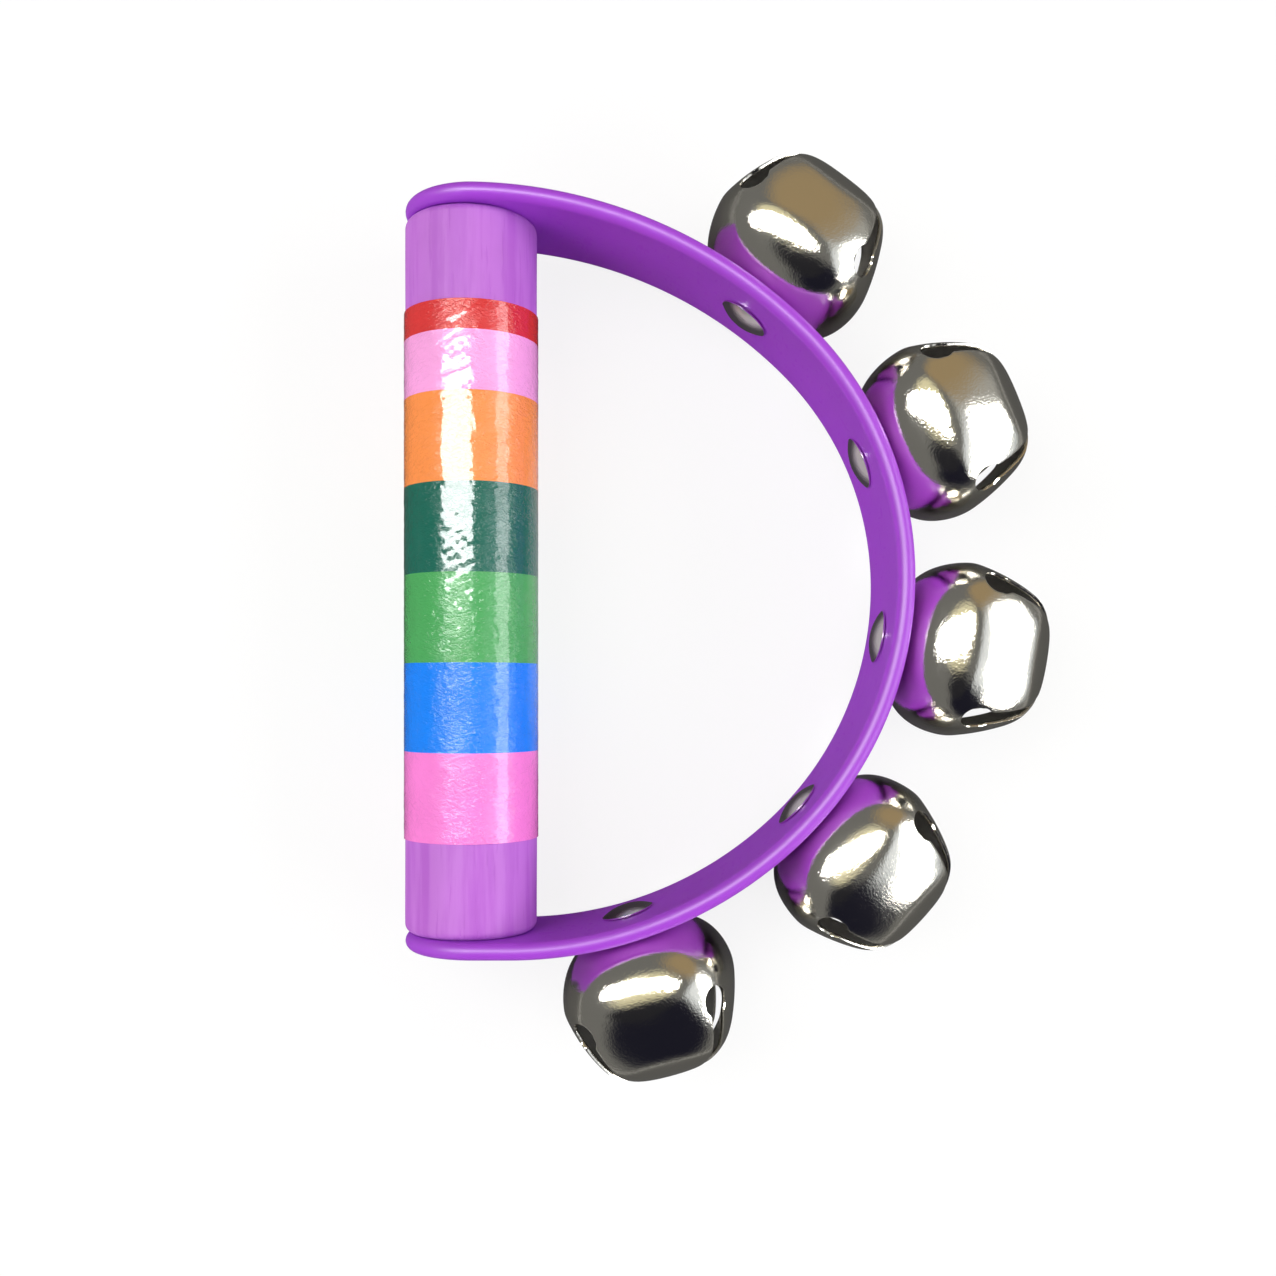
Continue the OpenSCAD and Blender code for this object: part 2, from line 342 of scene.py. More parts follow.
def shell_points(size, half, hole):
    """The four quarters of a shell as one stack of grids. Rows run from the rivet hole over the bowl and up a
    petal to its tip; columns run from one slot's edge to the next, where below the keyholes they meet."""
    probe = np.radians(np.linspace(2, 178, PROBES))
    diagonal = bell_surface(probe, np.full_like(probe, math.pi / 4), size, half)

    def angle_at(height):
        return np.interp(height, diagonal[:, 2], probe)

    start = math.atan2(hole, size.height * HEART_SHARE)
    end = math.pi - math.atan2(size.tip_radius, size.height * (1 - HEART_SHARE))
    foot = size.keyhole_height - size.keyhole_radius
    rise = 1 - np.cos(np.linspace(0, math.pi / 2, ROUND_ROWS))
    round_end = foot + size.keyhole_radius * rise
    below = np.linspace(start, angle_at(foot), BOWL_ROWS)
    above = np.linspace(angle_at(round_end[-1]), end, PETAL_ROWS)
    theta = np.concatenate([below[:-1], angle_at(round_end), above[1:]])
    radius = np.interp(theta, probe, np.hypot(diagonal[:, 0], diagonal[:, 1]))
    width = slot_half_width(np.interp(theta, probe, diagonal[:, 2]), size)
    width[:len(below)] = 0
    gap = np.arcsin(np.clip(width / radius, 0, LARGEST_GAP))
    across = np.linspace(-1, 1, QUARTER_COLUMNS)
    quarter = across[None] * (math.pi / 4 - gap)[:, None]
    theta = np.broadcast_to(theta[:, None], quarter.shape)
    return np.stack([bell_surface(theta, quarter + k * math.pi / 2, size, half) for k in range(4)])


class BELLS_OT_shells(bpy.types.Operator):
    """Build the pressed shells with their petals, creases and keyhole slots"""
    bl_idname = "bells.shells"
    bl_label = "Bell Shells"

    def execute(self, context):
        size = context.scene.bell_sizes
        rivet = context.scene.rivet_sizes
        # The bells' inner faces get the darker nickel: a rougher plate, with painted shade in its colour for
        # the hollow.
        plated, inside = metal_material("Bright nickel"), metal_material("Dull nickel and painted shade")
        grids = shell_points(size, petal_width() / 2, rivet.shank_radius + RIVET_PLAY)
        quads = grid_quads(*grids.shape[1:3])
        count = grids.shape[1] * grids.shape[2]
        quads = np.concatenate([quads + k * count for k in range(4)])
        for number, joint in enumerate(SWIVELS, 1):
            turn = size.last_turn if number == len(SWIVELS) else 0.0
            origin, across, along, out = swivel_frame(joint, turn)
            seat = origin + out * size.seat_gap
            points = in_frame(grids.reshape(-1, 3), seat, across, along, out)
            piece = mesh_piece(f"bell_shell_{number}", points, quads)
            face_outwards(piece, origin + out * size.height / 2)
            piece.data.materials.append(plated)
            piece.data.materials.append(inside)
            wall = piece.modifiers.new("Sheet", "SOLIDIFY")
            wall.thickness = size.wall
            wall.offset = -1
            wall.material_offset = 1
            wall.material_offset_rim = 0
            edge = piece.modifiers.new("Edge", "BEVEL")
            edge.width = EDGE_BEVEL
            edge.segments = 2
            edge.limit_method = "ANGLE"
            edge.angle_limit = math.radians(BEVEL_DEGREES)
            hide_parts(f"shell_{number}")
            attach(piece, joint["child"])
        return {"FINISHED"}


def face_outwards(piece, middle):
    """Turn an open shell's faces away from its middle."""
    work = bmesh.new()
    work.from_mesh(piece.data)
    work.faces.ensure_lookup_table()
    face = work.faces[len(work.faces) // 2]
    away = np.array(face.calc_center_median()) - np.array(middle)
    if np.dot(np.array(face.normal), away) < 0:
        bmesh.ops.reverse_faces(work, faces=work.faces)
    work.to_mesh(piece.data)
    work.free()


# -------- strap

SIDE_POINTS = 230  # points along each side of the strap's outline
END_POINTS = 31  # points round each of its ends, the corners left out
FACE_RINGS = 8  # rings from the middle of a face to where the edge starts to round
EDGE_RINGS = 10  # rings round half of the edge
BOW_SAMPLES = 4000  # places along the bow among which each rivet's is looked for
EIGHTH = math.pi / 4


def bow_pieces(size):
    """The bow's mid-line as rows of (length, centre x, centre y, radius, start angle); a straight end has
    radius nought and its start point for a centre."""
    _, handle_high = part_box("handle")
    strap_low, strap_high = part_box("strap")
    inner = handle_high[1] + size.end_gap
    thickness = strap_high[1] - inner
    level = inner + thickness / 2
    tail = strap_low[0]
    shoulders = size.shoulder_top + size.shoulder_low
    nose_low = (2 * level - (1 - math.cos(EIGHTH)) * shoulders) / math.sin(EIGHTH) - size.nose_top
    radii = [size.shoulder_top, size.nose_top, nose_low, size.shoulder_low]
    rows = [(size.bow_start - tail, tail, level, 0.0, math.pi / 2)]
    centre = np.array([size.bow_start, level - radii[0]])
    for step, radius in enumerate(radii):
        angle = math.pi / 2 - EIGHTH * step
        if step:
            way = np.array([math.cos(angle), math.sin(angle)])
            centre = centre + (radii[step - 1] - radius) * way
        rows.append((radius * EIGHTH, centre[0], centre[1], radius, angle))
    rows.append((centre[0] - tail, centre[0], -level, 0.0, -math.pi / 2))
    return rows, thickness


def bow_place(length, rows):
    """Point and outward direction of the bow's mid-line at each distance along it. On an arc the direction
    turns evenly, a = a0 - s / r; a straight end runs along x."""
    x, y = np.zeros_like(length), np.zeros_like(length)
    out = np.zeros(length.shape + (2,))
    begun = 0.0
    for number, (span, cx, cy, radius, start) in enumerate(rows):
        last = number == len(rows) - 1
        here = (length >= begun - 1e-9) & ((length < begun + span) | last)
        along = length - begun
        if radius:
            angle = start - along / radius
            px, py = cx + radius * np.cos(angle), cy + radius * np.sin(angle)
        else:
            angle = np.full_like(length, start)
            px, py = cx + along * math.sin(start), np.full_like(length, cy)
        x, y = np.where(here, px, x), np.where(here, py, y)
        out[here] = np.stack([np.cos(angle), np.sin(angle)], axis=-1)[here]
        begun += span
    return x, y, out


def strap_points(size):
    """Rings of the strap, from the middle of its outer face over the rounded edge to the middle of its inner
    face. Flat out, each ring is the strap's round-ended outline drawn in by d; at the edge d = e (1 - cos g)
    and the height is e sin g, a half circle. The flat form is then carried round the bow."""
    rows, thickness = bow_pieces(size)
    low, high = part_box("strap")
    half = (high[2] - low[2]) / 2
    total = sum(row[0] for row in rows)
    side = np.linspace(half, total - half, SIDE_POINTS)
    straight = np.ones(SIDE_POINTS)
    far = np.linspace(0, math.pi, END_POINTS + 2)[1:-1]
    near = far + math.pi
    ends = np.ones(END_POINTS)
    spine = np.concatenate([side, ends * (total - half), side[::-1], ends * half])
    lean_l = np.concatenate([0 * straight, np.sin(far), 0 * straight, np.sin(near)])
    lean_w = np.concatenate([straight, np.cos(far), -straight, np.cos(near)])
    edge = thickness / 2
    bend = np.radians(np.linspace(90, 0, EDGE_RINGS))
    flat = np.linspace(half, edge, FACE_RINGS + 1)[:-1]
    inset = np.concatenate([flat, edge * (1 - np.cos(bend))])
    lift = np.concatenate([np.full(FACE_RINGS, edge), edge * np.sin(bend)])
    inset = np.concatenate([inset, inset[-2::-1]])
    lift = np.concatenate([lift, -lift[-2::-1]])
    reach = (half - inset)[:, None]
    length = spine + reach * lean_l
    across = reach * lean_w
    height = np.broadcast_to(lift[:, None], length.shape).copy()
    sample = np.linspace(0, total, BOW_SAMPLES)
    sample_x, sample_y, _ = bow_place(sample, rows)
    for joint in SWIVELS:
        rivet_x, rivet_y, _ = joint["pos_m"]
        station = sample[np.argmin(np.hypot(sample_x - rivet_x, sample_y - rivet_y))]
        away = np.hypot(length - station, across) / size.dimple_reach
        height += np.where(height < 0, size.dimple * np.exp(-away ** 4), 0)
    x, y, out = bow_place(length, rows)
    return np.stack([x + out[..., 0] * height, y + out[..., 1] * height, across], axis=-1)


class BELLS_OT_strap(bpy.types.Operator):
    """Build the plastic strap with its rounded edges and ends"""
    bl_idname = "bells.strap"
    bl_label = "Strap"

    def execute(self, context):
        points = strap_points(context.scene.strap_sizes)
        piece = mesh_piece("strap_bow", points, grid_quads(*points.shape[:2], wrap=True))
        piece.data.materials.append(strap_material())
        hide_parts("strap")
        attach(piece, "bow")
        return {"FINISHED"}


# -------- handle

WAVED_RADIUS = 0.0103  # radius at which the handle's and the film's waves have their stated length
WOOD_TURNS = 144
FILM_TURNS = 220
FILM_THICKNESS = 0.19 * MM
FILM_RING_SPACING = 0.32 * MM


def lumps(along, turn, seed, count, longest, shortest, size):
    """A smooth uneven height over a cylinder: sine waves with seeded directions and phases, added up and
    divided by the root of their count. Whole waves go round it, so the ends of a turn meet."""
    draw = np.random.default_rng(seed)
    total = 0
    for _ in range(count):
        wave = math.exp(draw.uniform(math.log(shortest), math.log(longest)))
        slant = draw.uniform(0, 2 * math.pi)
        rounds = round(2 * math.pi * WAVED_RADIUS / wave * math.cos(slant))
        climb = 2 * math.pi / wave * math.sin(slant)
        total = total + np.sin(rounds * turn + climb * along + draw.uniform(0, 6.3))
    return size * total / math.sqrt(count)


def along_handle(points):
    """Turn lathe points so that their height runs along the handle."""
    return points[..., [0, 2, 1]] * np.array([1, 1, -1])


class BELLS_OT_handle(bpy.types.Operator):
    """Build the turned wooden handle"""
    bl_idname = "bells.handle"
    bl_label = "Handle"

    def execute(self, context):
        size = context.scene.handle_sizes
        low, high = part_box("handle")
        radius, half, corner = (high[0] - low[0]) / 2, high[1], size.end_round
        profile = np.concatenate([
            line((0, -half), (radius - corner, -half), 6)[:-1],
            arc((radius - corner, corner - half), corner, -90, 0, 10)[:-1],
            line((radius, corner - half), (radius, half - corner), 90)[:-1],
            arc((radius - corner, half - corner), corner, 0, 90, 10)[:-1],
            line((radius - corner, half), (0, half), 6),
        ])
        fade = np.clip(profile[:, :1] / radius, 0, 1) ** 6

        def turning_marks(along, turn):
            marks = lumps(along, turn, seed=5, count=14, longest=0.03, shortest=0.006, size=size.wobble / 2)
            return fade * np.minimum(marks - size.wobble, 0)

        points = along_handle(lathe_points(profile, WOOD_TURNS, turning_marks))
        piece = mesh_piece("wood_handle", points, grid_quads(*points.shape[:2], wrap=True))
        piece.data.materials.append(wood_material())
        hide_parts("handle")
        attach(piece, "bow")
        return {"FINISHED"}


class BELLS_OT_bands(bpy.types.Operator):
    """Build the coloured film bands with their fine wrinkles"""
    bl_idname = "bells.bands"
    bl_label = "Film Bands"

    def execute(self, context):
        size = context.scene.handle_sizes
        for name in BAND_NAMES:
            low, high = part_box(f"band_{name}")
            outer = (high[0] - low[0]) / 2
            inner = outer - FILM_THICKNESS
            steps = max(12, round((high[1] - low[1]) / FILM_RING_SPACING))
            profile = np.concatenate([
                line((inner, low[1]), (outer, low[1]))[:-1],
                line((outer, low[1]), (outer, high[1]), steps)[:-1],
                line((outer, high[1]), (inner, high[1])),
            ])
            skin = (profile[:, :1] > inner + FILM_THICKNESS / 2) * 1.0

            def wrinkles(along, turn):
                folds = lumps(along, turn, seed=11, count=40, longest=0.005, shortest=0.0011,
                              size=size.wrinkle / 2)
                return skin * np.minimum(folds - size.wrinkle, 0)

            points = along_handle(lathe_points(profile, FILM_TURNS, wrinkles))
            points = np.concatenate([points, points[:1]])
            quads = grid_quads(*points.shape[:2], wrap=True)
            piece = mesh_piece(f"film_{name}", points, quads, sharp_degrees=40)
            piece.data.materials.append(film_material(name))
            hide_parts(f"band_{name}")
            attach(piece, "bow")
        return {"FINISHED"}


# -------- fasteners

RIVET_TURNS = 72
HEAD_EDGE = 0.12 * MM  # rounding of the head's edge
BORE_EDGE = 0.4 * MM  # rounding of the bore's mouth
BORE_FLOOR = 0.5 * MM  # how far the bore reaches below the clinch's foot
HAMMERING = 0.03 * MM  # how far the three faint lobes of a head stray from round


def rivet_profile(size, thickness, clinch):
    """Half outline of a rivet, from the top of its dome to the bottom of its bore. Height nought is the
    strap's outer face; the dome is a circle's cap and the clinch ends in a half circle."""
    dome = size.head_height - size.rim
    dome_r = (size.head_radius ** 2 + dome ** 2) / (2 * dome)
    rim = -thickness - size.rim
    spread = math.degrees(math.asin(size.head_radius / dome_r))
    roll = size.clinch_height / 2
    return np.concatenate([
        arc((0, rim - dome + dome_r), dome_r, -90, spread - 90, 12),
        arc((size.head_radius - HEAD_EDGE, -thickness - HEAD_EDGE), HEAD_EDGE, 0, 90, 3),
        line((size.shank_radius, -thickness), (size.shank_radius, clinch)),
        line((size.shank_radius, clinch), (size.clinch_radius - roll, clinch), 2),
        arc((size.clinch_radius - roll, clinch + roll), roll, -90, 90, 12),
        arc((size.bore_radius + BORE_EDGE, clinch + 2 * roll - BORE_EDGE), BORE_EDGE, 90, 180, 5),
        line((size.bore_radius, clinch - BORE_FLOOR), (0, clinch - BORE_FLOOR), 2),
    ])


class BELLS_OT_rivets(bpy.types.Operator):
    """Build the domed rivets with their rolled ends"""
    bl_idname = "bells.rivets"
    bl_label = "Rivets"

    def execute(self, context):
        size = context.scene.rivet_sizes
        bell = context.scene.bell_sizes
        _, thickness = bow_pieces(context.scene.strap_sizes)
        clinch = 2 * bell.seat_gap + bell.wall
        profile = rivet_profile(size, thickness, clinch)
        for number, joint in enumerate(SWIVELS, 1):
            def hammering(height, turn):
                lobes = HAMMERING * (height < -thickness) * np.sin(3 * turn + number)
                return lobes * profile[:, :1] / size.head_radius

            points = lathe_points(profile, RIVET_TURNS, hammering)
            points = in_frame(points, *swivel_frame(joint))
            quads = grid_quads(*points.shape[:2], wrap=True)
            piece = mesh_piece(f"rivet_stud_{number}", points, quads, sharp_degrees=35)
            piece.data.materials.append(metal_material("Rivet nickel"))
            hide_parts(f"rivet_{number}")
            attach(piece, "bow")
        return {"FINISHED"}


class BELLS_OT_plain_parts(bpy.types.Operator):
    """Give the screws and the loose balls their metal"""
    bl_idname = "bells.plain_parts"
    bl_label = "Screws and Balls"

    def execute(self, context):
        for name in ("screw_top", "screw_bottom"):
            dress_node(name, metal_material("Zinc plate"))
        for number in range(1, len(SWIVELS) + 1):
            dress_node(f"pellet_{number}", metal_material("Tumbled steel"))
        return {"FINISHED"}


def dress_node(name, material):
    """Put a material on a node of the frame."""
    mesh = frame["nodes"][name].data
    if mesh.materials:
        mesh.materials[0] = material
    else:
        mesh.materials.append(material)


# -------- shader groups

class Nodes:
    """Short hand for adding and linking the nodes of a tree."""

    def __init__(self, tree):
        self.tree = tree

    def add(self, kind, settings=None, **inputs):
        """A new node with those settings. An input is named by its label, with underscores for spaces, or
        by i and its number."""
        node = self.tree.nodes.new(kind)
        for key, value in (settings or {}).items():
            setattr(node, key, value)
        for key, value in inputs.items():
            numbered = key[0] == "i" and key[1:].isdigit()
            self.plug(node, int(key[1:]) if numbered else key.replace("_", " "), value)
        return node

    def plug(self, node, key, value):
        """Link a socket to a node's input, or set the input to a constant."""
        socket = node.inputs[key]
        if isinstance(value, bpy.types.NodeSocket):
            self.tree.links.new(value, socket)
        else:
            socket.default_value = value

    def math(self, operation, first, second=0.0, third=0.0):
        node = self.add("ShaderNodeMath", {"operation": operation}, i0=first, i1=second, i2=third)
        return node.outputs[0]

    def ramp(self, value, low, high, start=0.0, end=1.0):
        """A smooth step from start, where the value is low, to end, where it is high."""
        node = self.add("ShaderNodeMapRange", {"interpolation_type": "SMOOTHSTEP"}, Value=value)
        for key, number in (("From Min", low), ("From Max", high), ("To Min", start), ("To Max", end)):
            self.plug(node, key, number)
        return node.outputs[0]

    def noise(self, scale, vector, detail=2.0, roughness=0.5):
        return self.add("ShaderNodeTexNoise", None, Scale=scale, Vector=vector, Detail=detail,
                        Roughness=roughness).outputs["Fac"]

    def mixed(self, share, first, second):
        """Two shaders mixed by a share of the second."""
        return self.add("ShaderNodeMixShader", None, i0=share, i1=first, i2=second).outputs[0]

    def stretched(self, stretch, vector):
        return self.add("ShaderNodeMapping", None, Vector=vector, Scale=stretch).outputs[0]


def effect_group(name, inputs, outputs, build):
    """The named effect group of float inputs and outputs, built once by a function of its nodes, place
    vector and input sockets. Inputs are pairs of label and default."""
    if name in bpy.data.node_groups:
        return bpy.data.node_groups[name]
    tree = bpy.data.node_groups.new(name, "ShaderNodeTree")
    for label, default in inputs:
        socket = tree.interface.new_socket(label, in_out="INPUT", socket_type="NodeSocketFloat")
        socket.default_value = default
    for label in outputs:
        tree.interface.new_socket(label, in_out="OUTPUT", socket_type="NodeSocketFloat")
    entry = tree.nodes.new("NodeGroupInput")
    leave = tree.nodes.new("NodeGroupOutput")
    place = tree.nodes.new("ShaderNodeTexCoord").outputs["Object"]
    for label, socket in build(Nodes(tree), place, entry.outputs).items():
        tree.links.new(socket, leave.inputs[label])
    return tree


def orange_peel():
    """Fine lumps of a moulded skin, as a height."""
    def build(nodes, place, given):
        flow = nodes.stretched((1.0, 2.2, 1.0), place)
        coarse = nodes.noise(nodes.math("MULTIPLY", given["Scale"], 0.35), flow, 2.0)
        fine = nodes.noise(given["Scale"], flow, 3.0, 0.6)
        slow = nodes.math("MULTIPLY", coarse, given["Coarse"])
        return {"Height": nodes.math("MULTIPLY_ADD", fine, given["Fine"], slow)}
    return effect_group("Orange peel", [("Scale", 900.0), ("Fine", 0.5), ("Coarse", 1.0)],
                        ["Height"], build)


def plating_grain():
    """Fine even grain of plated metal over slow waves of the pressed sheet, as a height."""
    def build(nodes, place, given):
        grain = nodes.noise(given["Scale"], place, 2.0, 0.7)
        waves = nodes.noise(nodes.math("MULTIPLY", given["Scale"], 0.06), place, 2.0)
        quick = nodes.math("MULTIPLY", grain, given["Grain"])
        return {"Height": nodes.math("MULTIPLY_ADD", waves, given["Waves"], quick)}
    return effect_group("Plating grain", [("Scale", 4500.0), ("Grain", 0.4), ("Waves", 1.6)],
                        ["Height"], build)


def shrink_wrinkles():
    """Short crossing wrinkles of shrunk film, as a height: noises drawn out along different slants, each with
    thin grooves where it passes its middle value."""
    def build(nodes, place, given):
        total = None
        for slant, stretch in ((0.45, 0.34), (-0.35, 0.28), (0.05, 0.9)):
            turned = nodes.add("ShaderNodeMapping", None, Vector=place, Rotation=(0.0, 0.0, slant))
            drawn = nodes.stretched((stretch, 1.0, stretch), turned.outputs[0])
            fold = nodes.noise(given["Scale"], drawn, 2.0, 0.55)
            past_middle = nodes.math("ABSOLUTE", nodes.math("SUBTRACT", fold, 0.5))
            groove = nodes.ramp(past_middle, 0.0, 0.1)
            fold = nodes.math("MULTIPLY_ADD", groove, given["Groove"], fold)
            total = fold if total is None else nodes.math("ADD", total, fold)
        cloud = nodes.noise(nodes.math("MULTIPLY", given["Scale"], 0.08), place, 2.0)
        patchy = nodes.ramp(cloud, 0.35, 0.65, 0.55)
        return {"Height": nodes.math("MULTIPLY", nodes.math("MULTIPLY", total, 0.5), patchy)}
    return effect_group("Shrink wrinkles", [("Scale", 2400.0), ("Groove", 0.4)], ["Height"], build)


def handling_marks():
    """Smudges and fine scratches, as a mask from 0 to 1 for roughness."""
    def build(nodes, place, given):
        cloud = nodes.noise(nodes.math("MULTIPLY", given["Scale"], 0.12), place, 3.0, 0.65)
        smudge = nodes.math("MULTIPLY", nodes.ramp(cloud, 0.4, 0.75), given["Smudge"])
        scratches = None
        for stretch in ((1.0, 22.0, 4.0), (18.0, 1.0, 5.0), (6.0, 3.0, 24.0)):
            thin = nodes.noise(given["Scale"], nodes.stretched(stretch, place), 1.0)
            mark = nodes.ramp(thin, 0.66, 0.72)
            scratches = mark if scratches is None else nodes.math("MAXIMUM", scratches, mark)
        marks = nodes.math("MULTIPLY_ADD", scratches, given["Scratches"], smudge)
        return {"Marks": nodes.math("MINIMUM", marks, 1.0)}
    return effect_group("Handling marks", [("Scale", 160.0), ("Smudge", 0.6), ("Scratches", 0.4)],
                        ["Marks"], build)


def tone_drift():
    """A slow drift of lightness round 1, to multiply a colour by."""
    def build(nodes, place, given):
        cloud = nodes.noise(given["Scale"], place, 3.0, 0.6)
        swing = nodes.math("MULTIPLY", nodes.math("SUBTRACT", cloud, 0.5), given["Amount"])
        return {"Tone": nodes.math("ADD", swing, 1.0)}
    return effect_group("Tone drift", [("Scale", 60.0), ("Amount", 0.2)], ["Tone"], build)


def wood_grain():
    """Long streaks and open pores along Y, as a streak mask, a pore mask and a height."""
    def build(nodes, place, given):
        ring = nodes.stretched((1.0, 0.06, 1.0), place)
        streak = nodes.ramp(nodes.noise(given["Scale"], ring, 4.0, 0.62), 0.38, 0.66)
        fine = nodes.noise(nodes.math("MULTIPLY", given["Scale"], 3.2), ring, 2.0, 0.6)
        pores = nodes.ramp(fine, 0.60, 0.70)
        furrow, pit = nodes.math("MULTIPLY", streak, -0.3), nodes.math("MULTIPLY", pores, 0.7)
        return {"Streak": streak, "Pores": pores, "Height": nodes.math("SUBTRACT", furrow, pit)}
    return effect_group("Wood grain", [("Scale", 520.0)], ["Streak", "Pores", "Height"], build)


# -------- materials

def material(name, build):
    """The named material, built once by a function of its nodes and its Principled shader."""
    if name in bpy.data.materials:
        return bpy.data.materials[name]
    made = bpy.data.materials.new(name)
    made.use_nodes = True
    nodes = Nodes(made.node_tree)
    build(nodes, made.node_tree.nodes["Principled BSDF"])
    return made


def use_group(nodes, tree, **values):
    """A group node of that effect with its own values."""
    node = nodes.tree.nodes.new("ShaderNodeGroup")
    node.node_tree = tree
    for key, value in values.items():
        node.inputs[key].default_value = value
    return node.outputs


def grey(nodes, tone):
    """A grey of that tone."""
    return nodes.add("ShaderNodeCombineColor", None, Red=tone, Green=tone, Blue=tone).outputs[0]


def toned(nodes, colour, tone):
    """A colour, or a colour socket, multiplied by a varying tone."""
    return nodes.add("ShaderNodeMix", {"data_type": "RGBA", "blend_type": "MULTIPLY"}, Factor=1.0,
                     i6=grey(nodes, tone), i7=colour).outputs[2]


def blended(nodes, mask, first, second):
    """Two colours mixed by a varying mask."""
    return nodes.add("ShaderNodeMix", {"data_type": "RGBA"}, Factor=mask, i6=first, i7=second).outputs[2]


def bumped(nodes, height, strength, distance):
    """A normal tilted by a height, whose full range is that distance."""
    node = nodes.add("ShaderNodeBump", None, Height=height, Strength=strength, Distance=distance)
    return node.outputs[0]


def set_shader(nodes, shader, **values):
    """Plug values or varying sockets into the shader's inputs, named with underscores."""
    for key, value in values.items():
        nodes.plug(shader, key.replace("_", " "), value)


def finish(name):
    """A colour of the finishes' settings, with alpha."""
    return (*getattr(bpy.context.scene.bell_finishes, name), 1.0)


def wood_material():
    """Dyed turned wood: darker streaks and pores along the grain, barely varnished."""
    def build(nodes, shader):
        grain = use_group(nodes, wood_grain(), Scale=520.0)
        marks = use_group(nodes, handling_marks(), Scale=90.0, Smudge=0.7, Scratches=0.2)["Marks"]
        tone = use_group(nodes, tone_drift(), Scale=70.0, Amount=0.25)["Tone"]
        dark = finish("wood_dark")
        streaks = nodes.math("MULTIPLY", grain["Streak"], 0.55)
        streaked = blended(nodes, streaks, finish("wood"), dark)
        pored = blended(nodes, nodes.math("MULTIPLY", grain["Pores"], 0.35), streaked, dark)
        set_shader(nodes, shader, Base_Color=toned(nodes, pored, tone),
                   Roughness=nodes.math("MULTIPLY_ADD", marks, -0.12, 0.62),
                   Normal=bumped(nodes, grain["Height"], 0.35, 0.15 * MM), Specular_IOR_Level=0.35)
    return material("Stained wood", build)


def film_material(name):
    """Glossy shrunk film of the named colour, with fine wrinkles and smudges."""
    def build(nodes, shader):
        wrinkles = use_group(nodes, shrink_wrinkles(), Scale=1500.0, Groove=0.3)
        marks = use_group(nodes, handling_marks(), Scale=150.0, Smudge=0.5, Scratches=0.5)["Marks"]
        tone = use_group(nodes, tone_drift(), Scale=90.0, Amount=0.12)["Tone"]
        set_shader(nodes, shader, Base_Color=toned(nodes, finish(name), tone),
                   Roughness=nodes.math("MULTIPLY_ADD", marks, 0.08, 0.07),
                   Normal=bumped(nodes, wrinkles["Height"], 1.0, 0.22 * MM), Specular_IOR_Level=0.5,
                   Coat_Weight=nodes.math("MULTIPLY_ADD", marks, -0.2, 0.7), Coat_Roughness=0.05)
    return material(f"Film {name}", build)


def strap_material():
    """Soft moulded plastic with a satin skin."""
    def build(nodes, shader):
        peel = use_group(nodes, orange_peel(), Scale=1500.0, Fine=0.6, Coarse=0.6)
        marks = use_group(nodes, handling_marks(), Scale=80.0, Smudge=0.7, Scratches=0.4)["Marks"]
        tone = use_group(nodes, tone_drift(), Scale=45.0, Amount=0.1)["Tone"]
        set_shader(nodes, shader, Base_Color=toned(nodes, finish("strap"), tone),
                   Roughness=nodes.math("MULTIPLY_ADD", marks, 0.12, 0.4),
                   Normal=bumped(nodes, peel["Height"], 0.12, 0.05 * MM), Specular_IOR_Level=0.5)
    return material("Strap plastic", build)


METALS = {
    # colour setting, roughness, roughness that marks add, grain's scale and depth, tone drift
    "Bright nickel": ("nickel", 0.08, 0.08, 2600.0, 0.13 * MM, 0.06),
    # Inside the bells: a rougher plate, and a darker colour that is painted shade in the hollow.
    "Dull nickel and painted shade": ("nickel_dull_and_shade", 0.5, 0.2, 1500.0, 0.03 * MM, 0.3),
    "Rivet nickel": ("rivet", 0.07, 0.12, 1100.0, 0.16 * MM, 0.12),
    "Zinc plate": ("zinc", 0.3, 0.2, 1500.0, 0.03 * MM, 0.2),
    "Tumbled steel": ("steel", 0.35, 0.2, 1200.0, 0.03 * MM, 0.2),
}


def metal_material(name):
    """The named metal: plating grain, smudges and scratches, and a slow drift of tone."""
    colour, rough, marked, scale, depth, drift = METALS[name]

    def build(nodes, shader):
        grain = use_group(nodes, plating_grain(), Scale=scale)
        marks = use_group(nodes, handling_marks(), Scale=220.0, Smudge=0.5, Scratches=0.5)["Marks"]
        tone = use_group(nodes, tone_drift(), Scale=120.0, Amount=drift)["Tone"]
        set_shader(nodes, shader, Base_Color=toned(nodes, finish(colour), tone), Metallic=1.0,
                   Roughness=nodes.math("MULTIPLY_ADD", marks, marked, rough),
                   Normal=bumped(nodes, grain["Height"], 0.5, depth))
    return material(name, build)


# -------- stage

SKY_PATCHES = (
    # lean to +X and to +Y from straight up, inner and outer half-angle in degrees, then linear colour
    (-14, 16, 14, 26, (0.80, 0.74, 0.48)),
    (52, 34, 12, 30, (0.42, 0.42, 0.40)),
    (32, 56, 12, 32, (0.36, 0.27, 0.15)),
    (12, -52, 20, 40, (0.012, 0.012, 0.022)),
    (-10, -26, 13, 25, (0.02, 0.02, 0.025)),
    (56, -12, 20, 36, (0.9, 0.95, 1.0)),
)
SKY_GREY = (0.17, 0.17, 0.165)
LAMPS = (
    # name, place, target, width, length, power, ray kind that it's hidden from
    ("key_light", (-0.36, 0.12, 0.50), (0.0, 0.0, 0.0), 0.60, 0.40, 2.7, "glossy"),
    ("fill_light", (-0.38, -0.42, 0.30), (0.03, 0.0, 0.0), 0.40, 0.40, 1.5, "glossy"),
    ("key_gloss", (-0.17, 0.125, 0.56), (0.0, 0.04, 0.0), 0.54, 0.13, 5.8, "diffuse"),
    ("window_light", (0.62, -0.10, 0.34), (0.03, -0.05, 0.0), 0.28, 0.80, 3.8, None),
)
